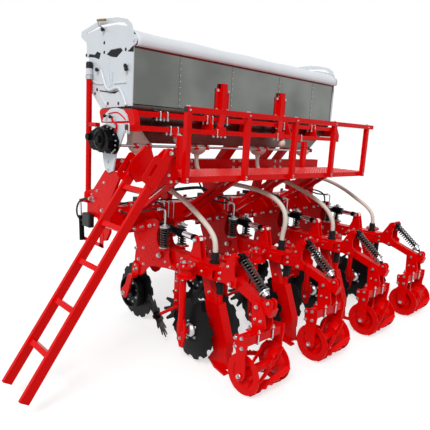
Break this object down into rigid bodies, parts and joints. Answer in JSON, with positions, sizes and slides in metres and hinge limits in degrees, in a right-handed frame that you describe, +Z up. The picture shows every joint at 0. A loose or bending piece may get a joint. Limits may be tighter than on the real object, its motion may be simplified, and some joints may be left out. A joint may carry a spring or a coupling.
{
  "type": "strip till cultivator",
  "caption": "Tractor-mounted strip till cultivator: row units with coulter, row cleaners, tine, notched discs and roller under a seed hopper with platform and ladder.",
  "frame": {"origin": "on the ground, under the middle of the overall box", "axes": "+X to the machine's right across the rows, +Y the way it travels, towards the tractor, +Z up"},
  "size_m": [3.8998, 2.179, 2.483],
  "materials": {
    "red_paint": "glossy red paint",
    "black_paint": "black paint",
    "black_steel": "black satin paint",
    "chrome": "hard chrome",
    "stainless": "bright rolled stainless steel",
    "white_paint": "white-grey paint",
    "tarpaulin": "grey-white coated cloth",
    "beige_plastic": "beige spiral plastic"
  },
  "bodies": {
    "frame": {"cleaner_arms": "red_paint", "coulter_arms": "red_paint", "cradle_beams": "red_paint", "disc_carriers": "red_paint", "drive_bracket": "white_paint", "headstock": "red_paint", "hopper_brackets": "red_paint", "hopper_cover": "tarpaulin", "hopper_end_left": "white_paint", "hopper_end_right": "white_paint", "hopper_legs": "red_paint", "hopper_trough": "stainless", "hopper_walls": "stainless", "hose_sockets": "black_paint", "meter_drive": "black_paint", "meter_units": "beige_plastic", "platform_arms": "red_paint", "platform_deck": "red_paint", "railing": "red_paint", "roller_arms": "red_paint", "roller_springs": "black_paint", "roller_yokes": "red_paint", "row_clamps": "red_paint", "row_plates": "red_paint", "seed_hose_1": "beige_plastic", "seed_hose_2": "beige_plastic", "seed_hose_3": "beige_plastic", "seed_hose_4": "beige_plastic", "spring_struts": "black_paint", "tine_feet": "red_paint", "tines": "red_paint", "toolbar": "red_paint", "trip_barrels": "black_paint", "trip_beams": "red_paint", "trip_rods": "chrome"},
    "ladder": {"ladder": "red_paint"},
    "cleaner_left_1": {"cleaner_left_1": "black_steel"},
    "cleaner_left_2": {"cleaner_left_2": "black_steel"},
    "cleaner_left_3": {"cleaner_left_3": "black_steel"},
    "cleaner_left_4": {"cleaner_left_4": "black_steel"},
    "cleaner_right_1": {"cleaner_right_1": "black_steel"},
    "cleaner_right_2": {"cleaner_right_2": "black_steel"},
    "cleaner_right_3": {"cleaner_right_3": "black_steel"},
    "cleaner_right_4": {"cleaner_right_4": "black_steel"},
    "coulter_1": {"coulter_1": "black_steel"},
    "coulter_2": {"coulter_2": "black_steel"},
    "coulter_3": {"coulter_3": "black_steel"},
    "coulter_4": {"coulter_4": "black_steel"},
    "disc_left_1": {"disc_left_1": "black_steel"},
    "disc_left_2": {"disc_left_2": "black_steel"},
    "disc_left_3": {"disc_left_3": "black_steel"},
    "disc_left_4": {"disc_left_4": "black_steel"},
    "disc_right_1": {"disc_right_1": "black_steel"},
    "disc_right_2": {"disc_right_2": "black_steel"},
    "disc_right_3": {"disc_right_3": "black_steel"},
    "disc_right_4": {"disc_right_4": "black_steel"},
    "roller_1": {"roller_1": "red_paint"},
    "roller_2": {"roller_2": "red_paint"},
    "roller_3": {"roller_3": "red_paint"},
    "roller_4": {"roller_4": "red_paint"}
  },
  "joints": [
    {"name": "roller_1_spin", "type": "hinge", "parent": "frame", "child": "roller_1", "pos_m": [-0.60008, -0.9465, 0.143], "axis": [1, 0, 0], "continuous": true},
    {"name": "coulter_1_spin", "type": "hinge", "parent": "frame", "child": "coulter_1", "pos_m": [-0.60008, 0.5045, 0.245], "axis": [1, 0, 0], "continuous": true},
    {"name": "disc_left_1_spin", "type": "hinge", "parent": "frame", "child": "disc_left_1", "pos_m": [-0.75008, -0.4105, 0.247], "axis": [1, 0, 0], "continuous": true},
    {"name": "cleaner_left_1_spin", "type": "hinge", "parent": "frame", "child": "cleaner_left_1", "pos_m": [-0.74008, -0.0005, 0.215], "axis": [-0.7018, 0.5514, -0.4511], "continuous": true},
    {"name": "disc_right_1_spin", "type": "hinge", "parent": "frame", "child": "disc_right_1", "pos_m": [-0.45008, -0.4105, 0.247], "axis": [1, 0, 0], "continuous": true},
    {"name": "cleaner_right_1_spin", "type": "hinge", "parent": "frame", "child": "cleaner_right_1", "pos_m": [-0.46008, -0.0005, 0.215], "axis": [0.7018, 0.5514, -0.4511], "continuous": true},
    {"name": "roller_2_spin", "type": "hinge", "parent": "frame", "child": "roller_2", "pos_m": [0.14992, -0.9465, 0.143], "axis": [1, 0, 0], "continuous": true},
    {"name": "coulter_2_spin", "type": "hinge", "parent": "frame", "child": "coulter_2", "pos_m": [0.14992, 0.5045, 0.245], "axis": [1, 0, 0], "continuous": true},
    {"name": "disc_left_2_spin", "type": "hinge", "parent": "frame", "child": "disc_left_2", "pos_m": [-0.00008, -0.4105, 0.247], "axis": [1, 0, 0], "continuous": true},
    {"name": "cleaner_left_2_spin", "type": "hinge", "parent": "frame", "child": "cleaner_left_2", "pos_m": [0.00992, -0.0005, 0.215], "axis": [-0.7018, 0.5514, -0.4511], "continuous": true},
    {"name": "disc_right_2_spin", "type": "hinge", "parent": "frame", "child": "disc_right_2", "pos_m": [0.29992, -0.4105, 0.247], "axis": [1, 0, 0], "continuous": true},
    {"name": "cleaner_right_2_spin", "type": "hinge", "parent": "frame", "child": "cleaner_right_2", "pos_m": [0.28992, -0.0005, 0.215], "axis": [0.7018, 0.5514, -0.4511], "continuous": true},
    {"name": "roller_3_spin", "type": "hinge", "parent": "frame", "child": "roller_3", "pos_m": [0.89992, -0.9465, 0.143], "axis": [1, 0, 0], "continuous": true},
    {"name": "coulter_3_spin", "type": "hinge", "parent": "frame", "child": "coulter_3", "pos_m": [0.89992, 0.5045, 0.245], "axis": [1, 0, 0], "continuous": true},
    {"name": "disc_left_3_spin", "type": "hinge", "parent": "frame", "child": "disc_left_3", "pos_m": [0.74992, -0.4105, 0.247], "axis": [1, 0, 0], "continuous": true},
    {"name": "cleaner_left_3_spin", "type": "hinge", "parent": "frame", "child": "cleaner_left_3", "pos_m": [0.75992, -0.0005, 0.215], "axis": [-0.7018, 0.5514, -0.4511], "continuous": true},
    {"name": "disc_right_3_spin", "type": "hinge", "parent": "frame", "child": "disc_right_3", "pos_m": [1.04992, -0.4105, 0.247], "axis": [1, 0, 0], "continuous": true},
    {"name": "cleaner_right_3_spin", "type": "hinge", "parent": "frame", "child": "cleaner_right_3", "pos_m": [1.03992, -0.0005, 0.215], "axis": [0.7018, 0.5514, -0.4511], "continuous": true},
    {"name": "roller_4_spin", "type": "hinge", "parent": "frame", "child": "roller_4", "pos_m": [1.64992, -0.9465, 0.143], "axis": [1, 0, 0], "continuous": true},
    {"name": "coulter_4_spin", "type": "hinge", "parent": "frame", "child": "coulter_4", "pos_m": [1.64992, 0.5045, 0.245], "axis": [1, 0, 0], "continuous": true},
    {"name": "disc_left_4_spin", "type": "hinge", "parent": "frame", "child": "disc_left_4", "pos_m": [1.49992, -0.4105, 0.247], "axis": [1, 0, 0], "continuous": true},
    {"name": "cleaner_left_4_spin", "type": "hinge", "parent": "frame", "child": "cleaner_left_4", "pos_m": [1.50992, -0.0005, 0.215], "axis": [-0.7018, 0.5514, -0.4511], "continuous": true},
    {"name": "disc_right_4_spin", "type": "hinge", "parent": "frame", "child": "disc_right_4", "pos_m": [1.79992, -0.4105, 0.247], "axis": [1, 0, 0], "continuous": true},
    {"name": "cleaner_right_4_spin", "type": "hinge", "parent": "frame", "child": "cleaner_right_4", "pos_m": [1.78992, -0.0005, 0.215], "axis": [0.7018, 0.5514, -0.4511], "continuous": true},
    {"name": "ladder_fold", "type": "hinge", "parent": "frame", "child": "ladder", "pos_m": [-0.98008, -0.2455, 1.505], "axis": [0, 1, 0], "range_deg": [0, 140]}
  ]
}
